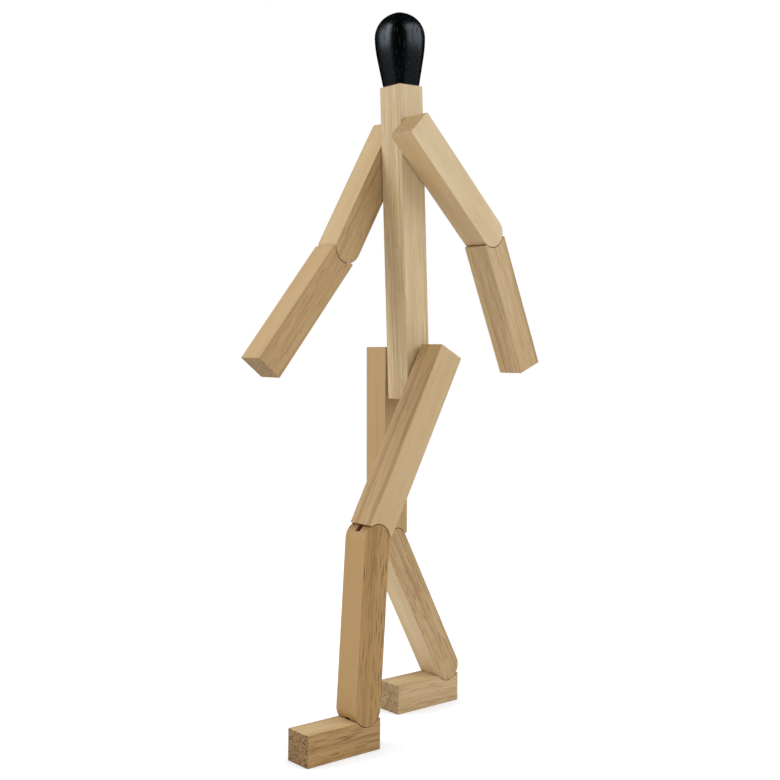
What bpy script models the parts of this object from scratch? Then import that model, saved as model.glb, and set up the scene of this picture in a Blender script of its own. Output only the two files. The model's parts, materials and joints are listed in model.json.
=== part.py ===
"""Wooden stickman figure: square oak bars and a stained head, jointed on hidden elastic cords.

The figure faces -Y, its left side is +X and it stands on Z = 0, in the middle of a stride.
Sizes are in millimetres and angles in degrees. Every limb turns about axes along X.
"""

import math

import bmesh
import bpy
from mathutils import Matrix, Vector

METRES = 0.001

# Bars
BAR = 20.0
EDGE_ROUND = 0.5
TORSO_LENGTH = 205.5
SHOULDER_DROP = 41.0
HIP_RISE = 14.6
UPPER_ARM_TOP = 18.5
UPPER_ARM_SPAN = 75.5
FOREARM_REACH = 99.4
THIGH_TOP = 19.5
THIGH_SPAN = 114.0
SHIN_SPAN = 106.2
FOOT_LENGTH = 57.0
FOOT_HEIGHT = 20.0

# Joints between bars: a half-round end in a shallow cup
SEAT_GAP = 0.3
CUP_DEPTH = 4.0
SLOT_WIDTH = 4.0
SLOT_DEPTH = 5.0
SHOULDER_GAP = 0.6
HIP_GAP = 2.2

# Head
HEAD_HEIGHT = 48.0
HEAD_TAPER_HEIGHT = 18.5
HEAD_SWELL_HEIGHT = 23.4
HEAD_WIDE_HEIGHT = 31.6
HEAD_WIDTH = 28.9
HEAD_CORNER = 9.2
NECK_CORNER = 5.4
DOWEL_DIAMETER = 8.0
DOWEL_LENGTH = 24.0
DOWEL_FIT = 0.2

# Elastic cords and their anchors
CORD_DIAMETER = 2.6
CORD_FIT = 0.4
BORE_DIAMETER = 5.0
BUSH_FIT = 0.15
BUSH_LENGTH = 5.0
BUSH_SETBACK = 1.2
KNOT_DIAMETER = 4.2
BORE_END_ROOM = 0.8
WASHER_DIAMETER = 13.0

# Stride: swing from straight down, backward positive
TORSO_LEAN = 3.05
UPPER_ARM_SWING = {"left": 46.5, "right": -28.8}
FOREARM_SWING = {"left": 23.3, "right": -38.1}
THIGH_SWING = {"left": -27.4, "right": 0.9}
LEFT_SHIN_SWING = -3.1

# Facets
ARC_SEGMENTS = 16
BORE_SIDES = 12
CORD_SIDES = 8
HEAD_CORNER_STEPS = 5
HEAD_TAPER_RINGS = 8
HEAD_DOME_RINGS = 7
CORD_BEND_STEPS = 8
KNOT_RINGS = 4
EDGE_SEGMENTS = 2
SHARP_ANGLE = 35.0

ROUND = BAR / 2
CUP_RADIUS = ROUND + SEAT_GAP
CUP_PLANE = ROUND - CUP_DEPTH
ANKLE_HEIGHT = FOOT_HEIGHT + CUP_PLANE
SIDES = {"left": 1, "right": -1}


def srgb(hex_colour):
    """Linear colour of a six-digit sRGB hex colour."""
    values = [int(hex_colour[i : i + 2], 16) / 255 for i in (0, 2, 4)]
    linear = [v / 12.92 if v <= 0.04045 else ((v + 0.055) / 1.055) ** 2.4 for v in values]
    return (*linear, 1.0)


def material(name, hex_colour, roughness):
    """A plain non-metallic material."""
    made = bpy.data.materials.new(name)
    made.use_nodes = True
    shader = made.node_tree.nodes["Principled BSDF"]
    shader.inputs["Base Color"].default_value = srgb(hex_colour)
    shader.inputs["Roughness"].default_value = roughness
    shader.inputs["Metallic"].default_value = 0.0
    return made


def add_object(name, mesh, surface, parent=None, place=(0.0, 0.0, 0.0), turn=0.0):
    """A named object under its parent: place in millimetres, turn about X in degrees."""
    made = bpy.data.objects.new(name, mesh)
    bpy.context.collection.objects.link(made)
    made.data.materials.append(surface)
    made.parent = parent
    made.location = Vector(place) * METRES
    made.rotation_euler = (math.radians(turn), 0.0, 0.0)
    return made


def finish_mesh(shape, name):
    """The mesh of a shape drawn in millimetres, in metres, with smooth rounds and sharp corners."""
    bmesh.ops.scale(shape, vec=(METRES, METRES, METRES), verts=shape.verts)
    bmesh.ops.recalc_face_normals(shape, faces=shape.faces)
    mesh = bpy.data.meshes.new(name)
    shape.to_mesh(mesh)
    shape.free()
    mesh.shade_smooth()
    mesh.set_sharp_from_angle(angle=math.radians(SHARP_ANGLE))
    return mesh


def extruded(points, path):
    """A flat outline of points extruded along a path vector."""
    shape = bmesh.new()
    face = shape.faces.new([shape.verts.new(p) for p in points])
    made = bmesh.ops.extrude_face_region(shape, geom=[face])
    moved = [v for v in made["geom"] if isinstance(v, bmesh.types.BMVert)]
    bmesh.ops.translate(shape, vec=path, verts=moved)
    return shape


def prism(outline, x):
    """An outline of (y, z) points extruded along X to the width of a bar, centred on x."""
    return extruded([(x - ROUND, y, z) for y, z in outline], (BAR, 0, 0))


def arc(centre_z, radius, first, last):
    """Points on an arc about (0, centre_z); angles in degrees from straight down, backward positive."""
    count = max(2, round(ARC_SEGMENTS * abs(last - first) / 180))
    angles = [math.radians(first + (last - first) * i / count) for i in range(count + 1)]
    return [(radius * math.sin(a), centre_z - radius * math.cos(a)) for a in angles]


def flat_end(z):
    """The two corners of a square-cut end at height z, front to back."""
    return [(-ROUND, z), (ROUND, z)]


def cup_end(pivot_z, faces_up):
    """A square-cut end hollowed about a pivot that stands CUP_PLANE outside it, front to back."""
    lip = math.degrees(math.acos(CUP_PLANE / CUP_RADIUS))
    if faces_up:
        end = pivot_z - CUP_PLANE
        hollow = arc(pivot_z, CUP_RADIUS, -lip, lip)
    else:
        end = pivot_z + CUP_PLANE
        hollow = arc(pivot_z, CUP_RADIUS, -180 + lip, -180 - lip)
    return [(-ROUND, end), *hollow, (ROUND, end)]


def round_end(pivot_z, faces_up):
    """A half-round end about a pivot, front to back."""
    if faces_up:
        return arc(pivot_z, ROUND, -90, -270)
    return arc(pivot_z, ROUND, -90, 90)


def ring(diameter, sides):
    """Points of a regular polygon whose flats lie outside the circle of that diameter."""
    radius = diameter / 2 / math.cos(math.pi / sides)
    angles = [2 * math.pi * (i + 0.5) / sides for i in range(sides)]
    return [(radius * math.cos(a), radius * math.sin(a)) for a in angles]


def add_cutter(name, mesh, target):
    """A hidden cutter under its target, subtracted from it."""
    cutter = bpy.data.objects.new(name, mesh)
    bpy.context.collection.objects.link(cutter)
    cutter.parent = target
    cutter.hide_render = True
    cutter.display_type = "WIRE"
    cut = target.modifiers.new(name, "BOOLEAN")
    cut.object = cutter
    cut.operation = "DIFFERENCE"
    cut.solver = "EXACT"


def drill(target, name, start, end, diameter=BORE_DIAMETER):
    """A round bore through target from start to end, points in its own frame."""
    path = Vector(end) - Vector(start)
    turn = path.to_track_quat("Z", "Y").to_matrix().to_4x4()
    shape = extruded([(x, y, 0) for x, y in ring(diameter, BORE_SIDES)], (0, 0, path.length))
    bmesh.ops.transform(shape, matrix=Matrix.Translation(Vector(start)) @ turn, verts=shape.verts)
    add_cutter(name, finish_mesh(shape, name), target)


def slot(target, name, x, pivot_z, faces_up):
    """The slot across a half-round end, open to the front and the back."""
    way = 1 if faces_up else -1
    floor = pivot_z + way * (ROUND - SLOT_DEPTH)
    tip = pivot_z + way * CUP_RADIUS
    left = x - SLOT_WIDTH / 2
    outline = [(left, -BAR, floor), (left, BAR, floor), (left, BAR, tip), (left, -BAR, tip)]
    add_cutter(name, finish_mesh(extruded(outline, (SLOT_WIDTH, 0, 0)), name), target)


def bar(name, top, bottom, x, parent, place, turn):
    """A bar along Z, outlined by its top and bottom ends (each front to back), centred on x."""
    shape = prism([*top, *reversed(bottom)], x)
    made = add_object(name, finish_mesh(shape, name), OAK, parent, place, turn)
    edges = made.modifiers.new("edges", "BEVEL")
    edges.width = EDGE_ROUND * METRES
    edges.segments = EDGE_SEGMENTS
    edges.limit_method = "ANGLE"
    edges.angle_limit = math.radians(SHARP_ANGLE)
    return made


def join_loops(shape, loops):
    """Faces between each loop of points and the next."""
    for one, other in zip(loops, loops[1:]):
        for i in range(len(one)):
            j = (i + 1) % len(one)
            shape.faces.new((one[i], one[j], other[j], other[i]))


def tube(rings):
    """A closed round body through rings of (centre, direction, radius), capped flat at both ends."""
    shape = bmesh.new()
    loops = []
    for centre, direction, radius in rings:
        across = Vector((1, 0, 0))
        if abs(direction.x) > 0.5:
            across = Vector((0, 1, 0))
        beside = direction.cross(across).normalized()
        across = beside.cross(direction).normalized()
        angles = [2 * math.pi * i / CORD_SIDES for i in range(CORD_SIDES)]
        points = [centre + radius * (math.cos(a) * across + math.sin(a) * beside) for a in angles]
        loops.append([shape.verts.new(p) for p in points])
    join_loops(shape, loops)
    shape.faces.new(loops[0])
    shape.faces.new(loops[-1])
    return shape


def knotted_cord(path):
    """A cord along a path of points, with a round knot beyond each end of it."""
    directions = [(b - a).normalized() for a, b in zip(path, path[1:])]
    tangents = [directions[0]]
    tangents += [(a + b).normalized() for a, b in zip(directions, directions[1:])]
    tangents.append(directions[-1])
    rings = [(p, t, CORD_DIAMETER / 2) for p, t in zip(path, tangents)]
    knot = KNOT_DIAMETER / 2
    inner = math.asin(CORD_DIAMETER / KNOT_DIAMETER)
    steps = [inner + (math.pi - 2 * inner) * i / KNOT_RINGS for i in range(1, KNOT_RINGS + 1)]
    middle = knot * math.cos(inner)
    bulge = [(middle - knot * math.cos(a), knot * math.sin(a)) for a in steps]
    start = [(path[0] - tangents[0] * s, tangents[0], r) for s, r in reversed(bulge)]
    end = [(path[-1] + tangents[-1] * s, tangents[-1], r) for s, r in bulge]
    return tube([*start, *rings, *end])


def washer(outer, inner, thickness):
    """A flat ring about Z, from Z = 0 up."""
    shape = bmesh.new()
    rim = outer * math.cos(math.pi / BORE_SIDES)
    loops = []
    for diameter, z in ((rim, 0), (rim, thickness), (inner, thickness), (inner, 0)):
        loops.append([shape.verts.new((x, y, z)) for x, y in ring(diameter, BORE_SIDES)])
    join_loops(shape, [*loops, loops[0]])
    return shape


def bush(name, start, direction, parent):
    """An anchor bush: a drilled plug from start along direction, in the parent's frame."""
    shape = washer(BORE_DIAMETER - 2 * BUSH_FIT, CORD_DIAMETER + CORD_FIT, BUSH_LENGTH)
    turn = direction.to_track_quat("Z", "Y").to_matrix().to_4x4()
    bmesh.ops.transform(shape, matrix=Matrix.Translation(start) @ turn, verts=shape.verts)
    return add_object(name, finish_mesh(shape, name), BEECH, parent)


def bezier(t):
    """The weights of a cubic curve's four control points at t."""
    return ((1 - t) ** 3, 3 * t * (1 - t) ** 2, 3 * t**2 * (1 - t), t**3)


def turned(point, angle):
    """A (y, z) point turned about X by an angle in degrees."""
    return Matrix.Rotation(math.radians(angle), 3, "X") @ Vector((0, *point))


def joint_cord(joint, x, round_bar, pivot_z, faces_up, cup_bar, cup_pivot_z, bend):
    """The cord of a cupped joint, its two bushes and the bores they sit in.

    The cord runs up the half-round bar's bore to its slot, and on into the cupped bar's bore.
    bend is the cupped bar's turn against the half-round bar, in degrees.
    """
    way = 1 if faces_up else -1
    round_name, cup_name = ("lower", "upper") if faces_up else ("upper", "lower")
    out = Vector((0, 0, way))
    pivot = Vector((x, 0, pivot_z))
    cup_pivot = Vector((x, 0, cup_pivot_z))
    reach = BUSH_LENGTH + KNOT_DIAMETER + BORE_END_ROOM
    low = ROUND - SLOT_DEPTH - BUSH_SETBACK
    high = CUP_RADIUS + BUSH_SETBACK
    drill(round_bar, f"{joint}_bore", pivot + out * CUP_RADIUS, pivot + out * (low - reach))
    bush(f"{joint}_{round_name}_bush", pivot + out * low, -out, round_bar)
    drill(cup_bar, f"{joint}_cup_bore", cup_pivot + out * ROUND, cup_pivot + out * (high + reach))
    bush(f"{joint}_{cup_name}_bush", cup_pivot + out * high, out, cup_bar)

    past_bush = BUSH_LENGTH + SEAT_GAP
    lead = (CUP_RADIUS - low) / 3
    bend_points = (
        out * low,
        out * (low + lead),
        turned((0, way * (CUP_RADIUS - lead)), bend),
        turned((0, way * CUP_RADIUS), bend),
    )
    path = [out * (low - past_bush)]
    for i in range(CORD_BEND_STEPS + 1):
        weights = bezier(i / CORD_BEND_STEPS)
        path.append(sum((w * p for w, p in zip(weights, bend_points)), Vector()))
    path.append(turned((0, way * (high + past_bush)), bend))
    name = f"{joint}_cord"
    mesh = finish_mesh(knotted_cord([pivot + p for p in path]), name)
    return add_object(name, mesh, ELASTIC, round_bar)


def cross_cord(joint, z, gap, limbs):
    """A cord along X through the torso, with its bush, bore and knot in the limb on each side."""
    face = ROUND + gap
    reach = BUSH_SETBACK + BUSH_LENGTH + KNOT_DIAMETER + BORE_END_ROOM
    drill(torso, f"{joint}_bore", (-BAR, 0, z), (BAR, 0, z))
    for side, limb in limbs.items():
        way = SIDES[side]
        drill(limb, f"{side}_{joint}_bore", (way * ROUND, 0, 0), (way * (face + reach), 0, 0))
        start = Vector((way * (face + BUSH_SETBACK), 0, 0))
        bush(f"{side}_{joint}_bush", start, Vector((way, 0, 0)), limb)
    end = face + BUSH_SETBACK + BUSH_LENGTH + SEAT_GAP
    path = [Vector((end * i, 0, z)) for i in (-1, 0, 1)]
    name = f"{joint}_cord"
    return add_object(name, finish_mesh(knotted_cord(path), name), ELASTIC, torso)


def rounded_square(half, corner):
    """Points round a square of that half-width with round corners."""
    points = []
    for quarter in range(4):
        middle = math.radians(45 + 90 * quarter)
        x = math.copysign(half - corner, math.cos(middle))
        y = math.copysign(half - corner, math.sin(middle))
        for i in range(HEAD_CORNER_STEPS + 1):
            a = math.radians(90 * quarter + 90 * i / HEAD_CORNER_STEPS)
            points.append((x + corner * math.cos(a), y + corner * math.sin(a)))
    return points


def head_profile():
    """Rings of the head from neck to crown: (height, half width, share of the way from neck to widest)."""
    neck, wide = ROUND, HEAD_WIDTH / 2
    heights = (0, HEAD_TAPER_HEIGHT, HEAD_SWELL_HEIGHT, HEAD_WIDE_HEIGHT)
    shares = (0, 2 / 3, 1, 1)
    rings = []
    for i in range(HEAD_TAPER_RINGS):
        weights = bezier(i / HEAD_TAPER_RINGS)
        height = sum(w * h for w, h in zip(weights, heights))
        share = sum(w * s for w, s in zip(weights, shares))
        rings.append((height, neck + (wide - neck) * share, share))
    for i in range(HEAD_DOME_RINGS):
        a = math.pi / 2 * i / HEAD_DOME_RINGS
        dome = (HEAD_HEIGHT - HEAD_WIDE_HEIGHT) * math.sin(a)
        rings.append((HEAD_WIDE_HEIGHT + dome, wide * math.cos(a), 1))
    return rings


def head_mesh():
    """The head: rounded squares along Z, widening from the neck to HEAD_WIDE_HEIGHT and domed above it."""
    neck_round = NECK_CORNER / ROUND
    wide_round = HEAD_CORNER / (HEAD_WIDTH / 2)
    shape = bmesh.new()
    loops = []
    for z, half, share in head_profile():
        corner = half * (neck_round + (wide_round - neck_round) * share)
        loops.append([shape.verts.new((x, y, z)) for x, y in rounded_square(half, corner)])
    join_loops(shape, loops)
    shape.faces.new(loops[0])
    crown = shape.verts.new((0, 0, HEAD_HEIGHT))
    for one, other in zip(loops[-1], [*loops[-1][1:], loops[-1][0]]):
        shape.faces.new((one, other, crown))
    return finish_mesh(shape, "head")


for old in list(bpy.data.objects):
    bpy.data.objects.remove(old, do_unlink=True)

OAK = material("oiled oak", "c9b08a", 0.5)
BLACK = material("black-stained wood", "1c1d1f", 0.35)
BEECH = material("beech", "d9bd94", 0.6)
ELASTIC = material("black elastic", "17171a", 0.8)
FELT = material("dark felt", "3a2f27", 0.9)

# The left leg sets the height of the hips, and the right shin then swings to bring its foot to the floor
left_shin = math.radians(LEFT_SHIN_SWING)
left_thigh = math.radians(THIGH_SWING["left"])
right_thigh = math.radians(THIGH_SWING["right"])
hip_height = ANKLE_HEIGHT + SHIN_SPAN * math.cos(left_shin) + THIGH_SPAN * math.cos(left_thigh)
right_knee_height = hip_height - THIGH_SPAN * math.cos(right_thigh)
right_shin_swing = math.degrees(math.acos((right_knee_height - ANKLE_HEIGHT) / SHIN_SPAN))
SHIN_SWING = {"left": LEFT_SHIN_SWING, "right": right_shin_swing}

# The hands reach furthest back and furthest forward, and the figure is centred between them
shoulder_rise = TORSO_LENGTH - HIP_RISE - SHOULDER_DROP
shoulder_y = -shoulder_rise * math.sin(math.radians(TORSO_LEAN))
hand_edges = []
for side, way in SIDES.items():
    upper = math.radians(UPPER_ARM_SWING[side])
    fore = math.radians(FOREARM_SWING[side])
    hand = UPPER_ARM_SPAN * math.sin(upper) + FOREARM_REACH * math.sin(fore)
    hand_edges.append(shoulder_y + hand + way * ROUND * math.cos(fore))
hip_y = -sum(hand_edges) / 2

# Torso, with its origin on the hip axis
torso = bar(
    "torso",
    flat_end(TORSO_LENGTH - HIP_RISE),
    flat_end(-HIP_RISE),
    0,
    None,
    (0, hip_y, hip_height),
    TORSO_LEAN,
)

# Head on its dowel
torso_top = TORSO_LENGTH - HIP_RISE
head = add_object("head", head_mesh(), BLACK, torso, (0, 0, torso_top + SEAT_GAP))
hole = DOWEL_DIAMETER + 2 * DOWEL_FIT
hole_depth = (DOWEL_LENGTH + SEAT_GAP) / 2
drill(torso, "dowel_hole", (0, 0, torso_top - hole_depth), (0, 0, torso_top + BAR), hole)
drill(head, "head_dowel_hole", (0, 0, -BAR), (0, 0, hole_depth), hole)
dowel_shape = bmesh.new()
bmesh.ops.create_cone(
    dowel_shape,
    cap_ends=True,
    segments=BORE_SIDES,
    radius1=DOWEL_DIAMETER / 2,
    radius2=DOWEL_DIAMETER / 2,
    depth=DOWEL_LENGTH,
)
add_object(
    "neck_dowel",
    finish_mesh(dowel_shape, "neck_dowel"),
    BEECH,
    torso,
    (0, 0, torso_top + SEAT_GAP / 2),
)

# Arms, each bar hanging from the origin on its joint's axis
upper_arms = {}
for side, way in SIDES.items():
    x = way * (BAR + SHOULDER_GAP)
    upper_arms[side] = bar(
        f"{side}_upper_arm",
        flat_end(UPPER_ARM_TOP),
        round_end(-UPPER_ARM_SPAN, False),
        x,
        torso,
        (0, 0, shoulder_rise),
        UPPER_ARM_SWING[side] - TORSO_LEAN,
    )
    slot(upper_arms[side], f"{side}_elbow_slot", x, -UPPER_ARM_SPAN, False)
    elbow_bend = FOREARM_SWING[side] - UPPER_ARM_SWING[side]
    forearm = bar(
        f"{side}_forearm",
        cup_end(0, True),
        flat_end(-FOREARM_REACH),
        x,
        upper_arms[side],
        (0, 0, -UPPER_ARM_SPAN),
        elbow_bend,
    )
    joint_cord(
        f"{side}_elbow",
        x,
        upper_arms[side],
        -UPPER_ARM_SPAN,
        False,
        forearm,
        0,
        elbow_bend,
    )
cross_cord("shoulder", shoulder_rise, SHOULDER_GAP, upper_arms)

# Legs
thighs = {}
for side, way in SIDES.items():
    x = way * (BAR + HIP_GAP)
    thighs[side] = bar(
        f"{side}_thigh",
        flat_end(THIGH_TOP),
        cup_end(-THIGH_SPAN, False),
        x,
        torso,
        (0, 0, 0),
        THIGH_SWING[side] - TORSO_LEAN,
    )
    knee_bend = SHIN_SWING[side] - THIGH_SWING[side]
    shin = bar(
        f"{side}_shin",
        round_end(0, True),
        round_end(-SHIN_SPAN, False),
        x,
        thighs[side],
        (0, 0, -THIGH_SPAN),
        knee_bend,
    )
    slot(shin, f"{side}_knee_slot", x, 0, True)
    slot(shin, f"{side}_ankle_slot", x, -SHIN_SPAN, False)
    toe = ROUND - FOOT_LENGTH
    foot = bar(
        f"{side}_foot",
        [(toe, -CUP_PLANE), *cup_end(0, True)[1:]],
        [(toe, -ANKLE_HEIGHT), (ROUND, -ANKLE_HEIGHT)],
        x,
        shin,
        (0, 0, -SHIN_SPAN),
        -SHIN_SWING[side],
    )
    joint_cord(f"{side}_knee", x, shin, 0, True, thighs[side], -THIGH_SPAN, -knee_bend)
    joint_cord(f"{side}_ankle", x, shin, -SHIN_SPAN, False, foot, 0, -SHIN_SWING[side])
    disc = washer(WASHER_DIAMETER, BORE_DIAMETER, HIP_GAP - 2 * SEAT_GAP)
    bmesh.ops.rotate(disc, matrix=Matrix.Rotation(math.radians(90 * way), 3, "Y"), verts=disc.verts)
    bmesh.ops.translate(disc, vec=(way * (ROUND + SEAT_GAP), 0, 0), verts=disc.verts)
    add_object(f"{side}_hip_washer", finish_mesh(disc, f"{side}_hip_washer"), FELT, torso)
cross_cord("hip", 0, HIP_GAP, thighs)
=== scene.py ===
import json

import bmesh
import bpy
import numpy as np
from mathutils import Matrix, Vector


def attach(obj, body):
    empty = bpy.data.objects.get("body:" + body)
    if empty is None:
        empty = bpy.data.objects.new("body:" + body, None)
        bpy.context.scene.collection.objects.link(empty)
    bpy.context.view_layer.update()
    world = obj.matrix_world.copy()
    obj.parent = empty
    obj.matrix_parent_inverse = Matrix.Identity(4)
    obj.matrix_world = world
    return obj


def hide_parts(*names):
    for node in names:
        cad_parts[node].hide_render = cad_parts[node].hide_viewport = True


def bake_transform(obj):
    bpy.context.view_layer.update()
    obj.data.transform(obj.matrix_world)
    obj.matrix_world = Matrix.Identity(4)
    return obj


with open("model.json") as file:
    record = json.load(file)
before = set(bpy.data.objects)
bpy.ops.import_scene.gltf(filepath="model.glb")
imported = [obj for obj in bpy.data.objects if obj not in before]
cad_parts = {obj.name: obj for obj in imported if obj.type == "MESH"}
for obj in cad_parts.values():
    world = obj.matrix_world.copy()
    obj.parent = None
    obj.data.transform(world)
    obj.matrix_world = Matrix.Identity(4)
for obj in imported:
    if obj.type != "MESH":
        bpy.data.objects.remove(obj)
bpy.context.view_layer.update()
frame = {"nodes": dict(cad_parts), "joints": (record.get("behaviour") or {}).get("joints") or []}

# Torso: one length of square oak strip, planed on four sides, cut square at both ends and oiled.
# Its edges are eased with sandpaper. It is drilled across for the shoulder and hip cords, and bored
# at the top for the neck dowel.
MM = 0.001
BAR = 20.0
HALF = BAR / 2
EASED_EDGE = 0.5
EASE_STEPS = 5
BORE = 5.0
BORE_SIDES = 32
BORE_TURN = 0.3
CUTTER_PROUD = 1.0
DOWEL_HOLE = 8.4
DOWEL_HOLE_DEPTH = 12.2
ABOVE_HIP = 190.9
BELOW_HIP = 14.6
BEYOND = 12.0
# Bored faces and slot walls take this share of the end-grain darkening as painted shade.
BORED_PAINTED_SHADE = 0.5
WELD = 0.02
SHARP = np.radians(40)

joint_at = {joint["name"]: np.array(joint["pos_m"]) / MM for joint in frame["joints"]}
nodes = frame["nodes"]


def linear(hex_colour):
    """Linear RGBA of an sRGB hex colour."""
    value = np.array([int(hex_colour[i : i + 2], 16) for i in (1, 3, 5)]) / 255
    bent = np.where(value <= 0.04045, value / 12.92, ((value + 0.055) / 1.055) ** 2.4)
    return (*bent.tolist(), 1.0)


def add_node(tree, kind, inputs=None, **settings):
    """Adds a node with its settings. An input is a value, or a socket or a node to link from."""
    made = tree.nodes.new(kind)
    for name, value in settings.items():
        setattr(made, name, value)
    for key, value in (inputs or {}).items():
        if isinstance(value, bpy.types.Node):
            value = next(output for output in value.outputs if output.enabled)
        if isinstance(value, bpy.types.NodeSocket):
            tree.links.new(value, made.inputs[key])
        else:
            made.inputs[key].default_value = value
    return made


def new_material(name):
    """A material with no nodes yet, and its node tree."""
    material = bpy.data.materials.new(name)
    material.use_nodes = True
    material.node_tree.nodes.clear()
    return material, material.node_tree


def add_object(name, data):
    """A new object in the scene, at the origin."""
    made = bpy.data.objects.new(name, data)
    bpy.context.scene.collection.objects.link(made)
    return made


def arc(centre, radius, first, last, steps):
    """Points (y, z) round a circle: angles in degrees run from straight down, backward positive."""
    angle = np.radians(np.linspace(first, last, steps + 1))
    return np.stack([centre[0] + radius * np.sin(angle), centre[1] - radius * np.cos(angle)], axis=1)


def square_end(end, way, front=-HALF, corner=EASED_EDGE):
    """A square-cut end at height end, up (way 1) or down (-1): its two eased corners, front to back."""
    level = end - way * corner
    one = arc((front + corner, level), corner, -90, -90 - way * 90, EASE_STEPS)
    other = arc((HALF - corner, level), corner, 90 + way * 90, 90, EASE_STEPS)
    return np.concatenate([one, other])


def ring_faces(rings, count):
    """The quads between rings of count points each: along the ring, on to the next ring and back."""
    ring, point = np.meshgrid(np.arange(rings - 1), np.arange(count), indexing="ij")
    start = ring * count
    beside = (point + 1) % count
    corners = [start + point, start + beside, start + count + beside, start + count + point]
    return np.stack(corners, axis=-1).reshape(-1, 4)


def bar_mesh(top, bottom, middle_x):
    """A bar: its side outline carried across x, drawn in by a quarter round at each face.

    At an angle a of that quarter round, x stands 1 - cos a of the easing in from the face, and the
    outline is drawn in along its normals by 1 - sin a of it. The two flat faces close the ends.
    """
    outline = np.concatenate([top, bottom[::-1]])
    before = outline - np.roll(outline, 1, axis=0)
    after = np.roll(outline, -1, axis=0) - outline
    before /= np.linalg.norm(before, axis=1, keepdims=True)
    after /= np.linalg.norm(after, axis=1, keepdims=True)
    inward = np.stack([before[:, 1] + after[:, 1], -before[:, 0] - after[:, 0]], axis=1)
    inward /= 1 + np.sum(before * after, axis=1, keepdims=True)
    angle = np.linspace(0, np.pi / 2, EASE_STEPS + 1)
    edge_x = HALF - EASED_EDGE * (1 - np.cos(angle))
    drawn_in = EASED_EDGE * (1 - np.sin(angle))
    across = np.concatenate([-edge_x, edge_x[::-1]]) + middle_x
    drawn_in = np.concatenate([drawn_in, drawn_in[::-1]])
    rows, count = len(across), len(outline)
    points = np.empty((rows, count, 3))
    points[:, :, 0] = across[:, None]
    points[:, :, 1:] = outline + drawn_in[:, None, None] * inward
    # The outline runs the other way round x, so the quads are turned over to face out.
    quads = ring_faces(rows, count)[:, [0, 3, 2, 1]]
    first = np.arange(count)
    last = first[::-1] + (rows - 1) * count
    faces = [*quads.tolist(), first.tolist(), last.tolist()]
    return new_mesh("bar", points.reshape(-1, 3), faces)


def clean_faces(mesh):
    """Welds points that fall together, cuts faces of many corners into triangles and marks sharp edges."""
    shape = bmesh.new()
    shape.from_mesh(mesh)
    bmesh.ops.remove_doubles(shape, verts=shape.verts, dist=WELD * MM)
    bmesh.ops.triangulate(shape, faces=[face for face in shape.faces if len(face.verts) > 4])
    for edge in shape.edges:
        edge.smooth = edge.calc_face_angle(0.0) < SHARP
    shape.to_mesh(mesh)
    shape.free()


def new_mesh(name, points, faces, cutter=0.0):
    """A smooth-shaded mesh from points in millimetres, its faces marked if they are a cutter's."""
    mesh = bpy.data.meshes.new(name)
    mesh.from_pydata((points * MM).tolist(), [], faces)
    mesh.shade_smooth()
    clean_faces(mesh)
    marks = np.full(len(mesh.polygons), cutter)
    mesh.attributes.new("cutter", "FLOAT", "FACE").data.foreach_set("value", marks)
    return mesh


def bore(start, end, diameter=BORE):
    """A round cutter from start to end: two circles about the line between them, joined and capped.

    The circles are turned by a part of one side, so that no corner lies on a flat of another cut.
    """
    start, end = np.array(start, float), np.array(end, float)
    along = (end - start) / np.linalg.norm(end - start)
    one = np.cross(along, np.roll(np.abs(along).round(), 1))
    one /= np.linalg.norm(one)
    other = np.cross(along, one)
    angle = (np.arange(BORE_SIDES) + BORE_TURN) * 2 * np.pi / BORE_SIDES
    circle = diameter / 2 * (np.cos(angle)[:, None] * one + np.sin(angle)[:, None] * other)
    points = np.concatenate([start + circle, end + circle])
    i = np.arange(BORE_SIDES)
    j = (i + 1) % BORE_SIDES
    sides = np.stack([i, j, j + BORE_SIDES, i + BORE_SIDES], axis=1)
    return new_mesh("bore", points, [*sides.tolist(), i[::-1].tolist(), (i + BORE_SIDES).tolist()], 1.0)


def cut_away(mesh, cutters):
    """The mesh less every cutter."""
    solid = add_object("solid", mesh)
    tools = [add_object("tool", cutter) for cutter in cutters]
    for tool in tools:
        away = solid.modifiers.new("away", "BOOLEAN")
        away.object = tool
        away.operation = "DIFFERENCE"
        away.solver = "EXACT"
    graph = bpy.context.evaluated_depsgraph_get()
    done = bpy.data.meshes.new_from_object(solid.evaluated_get(graph))
    for thing in (solid, *tools):
        bpy.data.objects.remove(thing)
    clean_faces(done)
    return done


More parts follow.
